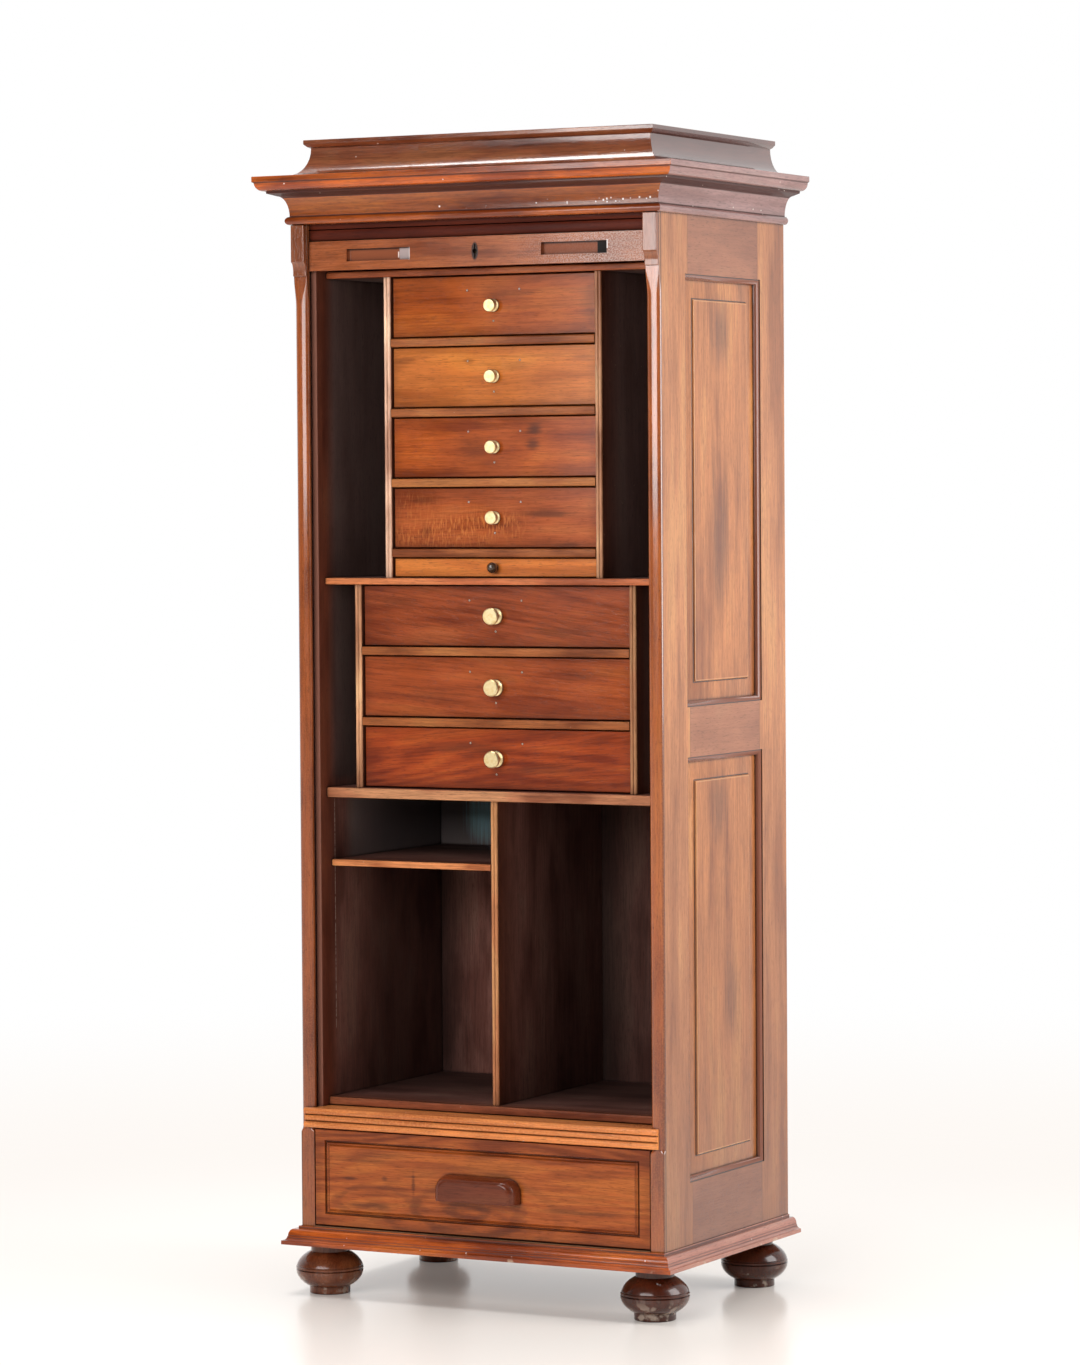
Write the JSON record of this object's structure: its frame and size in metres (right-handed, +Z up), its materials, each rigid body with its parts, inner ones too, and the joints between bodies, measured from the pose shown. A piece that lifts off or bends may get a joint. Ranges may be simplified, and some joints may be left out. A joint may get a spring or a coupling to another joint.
{
  "type": "tambour cabinet",
  "caption": "Tall narrow roller-shutter cabinet in polished wood: framed sides, moulded cornice, bun feet, inner drawers, pigeonholes and a deep bottom drawer.",
  "frame": {"origin": "on the floor, in the middle of the overall width and depth", "axes": "+Z up, +X to the right seen from the front, +Y to the back"},
  "size_m": [0.6536, 0.437, 1.6197],
  "materials": {
    "carcass_wood": "French polish, worn",
    "moulding_wood": "French polish, worn",
    "panel_wood": "French polish, worn",
    "inner_wood": "dull dark polish",
    "edge_wood": "worn polish",
    "upper_drawer_wood": "French polish",
    "lower_drawer_wood": "French polish",
    "slide_wood": "worn polish",
    "dark_wood": "glossy dark polish",
    "back_wood": "bare, aged",
    "brass": "polished, tarnished in the recesses",
    "lock_steel": "plain"
  },
  "bodies": {
    "cabinet": {"back_panel": "back_wood", "base_moulding": "moulding_wood", "bottom_board": "inner_wood", "centre_partition": "edge_wood", "compartment_floor": "inner_wood", "cornice": "moulding_wood", "curtain": "moulding_wood", "false_back": "inner_wood", "frieze_rail": "carcass_wood", "front_left_foot": "dark_wood", "front_right_foot": "dark_wood", "inner_ceiling": "inner_wood", "left_capital": "carcass_wood", "left_lining": "inner_wood", "left_lower_panel": "panel_wood", "left_side_frame": "carcass_wood", "left_upper_panel": "panel_wood", "lower_dust_board_1": "edge_wood", "lower_dust_board_2": "edge_wood", "lower_left_partition": "edge_wood", "lower_right_partition": "edge_wood", "lower_shelf": "edge_wood", "rear_left_foot": "dark_wood", "rear_right_foot": "dark_wood", "right_capital": "carcass_wood", "right_lining": "inner_wood", "right_lower_panel": "panel_wood", "right_side_frame": "carcass_wood", "right_upper_panel": "panel_wood", "small_shelf": "edge_wood", "top_cap": "moulding_wood", "upper_dust_board_1": "edge_wood", "upper_dust_board_2": "edge_wood", "upper_dust_board_3": "edge_wood", "upper_dust_board_4": "edge_wood", "upper_left_partition": "edge_wood", "upper_right_partition": "edge_wood", "upper_shelf": "edge_wood", "waist_rail": "carcass_wood"},
    "shutter": {"lead_rail": "carcass_wood", "lock_case": "lock_steel"},
    "lock_bolt": {"lock_bolt": "brass"},
    "writing_slide": {"writing_slide": "slide_wood", "writing_slide_knob": "dark_wood"},
    "bottom_drawer": {"bottom_drawer": "upper_drawer_wood", "bottom_drawer_handle": "dark_wood"},
    "upper_drawer_1": {"upper_drawer_1": "upper_drawer_wood", "upper_knob_1": "brass"},
    "upper_drawer_2": {"upper_drawer_2": "upper_drawer_wood", "upper_knob_2": "brass"},
    "upper_drawer_3": {"upper_drawer_3": "upper_drawer_wood", "upper_knob_3": "brass"},
    "upper_drawer_4": {"upper_drawer_4": "upper_drawer_wood", "upper_knob_4": "brass"},
    "lower_drawer_1": {"lower_drawer_1": "lower_drawer_wood", "lower_knob_1": "brass"},
    "lower_drawer_2": {"lower_drawer_2": "lower_drawer_wood", "lower_knob_2": "brass"},
    "lower_drawer_3": {"lower_drawer_3": "lower_drawer_wood", "lower_knob_3": "brass"}
  },
  "joints": [
    {"name": "shutter_slide", "type": "slide", "parent": "cabinet", "child": "shutter", "axis": [0, 0, 1], "range_m": [-1.1722, 0], "deforming": ["curtain"]},
    {"name": "lock_bolt_slide", "type": "slide", "parent": "shutter", "child": "lock_bolt", "axis": [0, 0, -1], "range_m": [0, 0.009]},
    {"name": "writing_slide_slide", "type": "slide", "parent": "cabinet", "child": "writing_slide", "axis": [0, -1, 0], "range_m": [0, 0.23]},
    {"name": "bottom_drawer_slide", "type": "slide", "parent": "cabinet", "child": "bottom_drawer", "axis": [0, -1, 0], "range_m": [0, 0.28]},
    {"name": "upper_drawer_1_slide", "type": "slide", "parent": "cabinet", "child": "upper_drawer_1", "axis": [0, -1, 0], "range_m": [0, 0.23]},
    {"name": "upper_drawer_2_slide", "type": "slide", "parent": "cabinet", "child": "upper_drawer_2", "axis": [0, -1, 0], "range_m": [0, 0.23]},
    {"name": "upper_drawer_3_slide", "type": "slide", "parent": "cabinet", "child": "upper_drawer_3", "axis": [0, -1, 0], "range_m": [0, 0.23]},
    {"name": "upper_drawer_4_slide", "type": "slide", "parent": "cabinet", "child": "upper_drawer_4", "axis": [0, -1, 0], "range_m": [0, 0.23]},
    {"name": "lower_drawer_1_slide", "type": "slide", "parent": "cabinet", "child": "lower_drawer_1", "axis": [0, -1, 0], "range_m": [0, 0.23]},
    {"name": "lower_drawer_2_slide", "type": "slide", "parent": "cabinet", "child": "lower_drawer_2", "axis": [0, -1, 0], "range_m": [0, 0.23]},
    {"name": "lower_drawer_3_slide", "type": "slide", "parent": "cabinet", "child": "lower_drawer_3", "axis": [0, -1, 0], "range_m": [0, 0.23]}
  ]
}
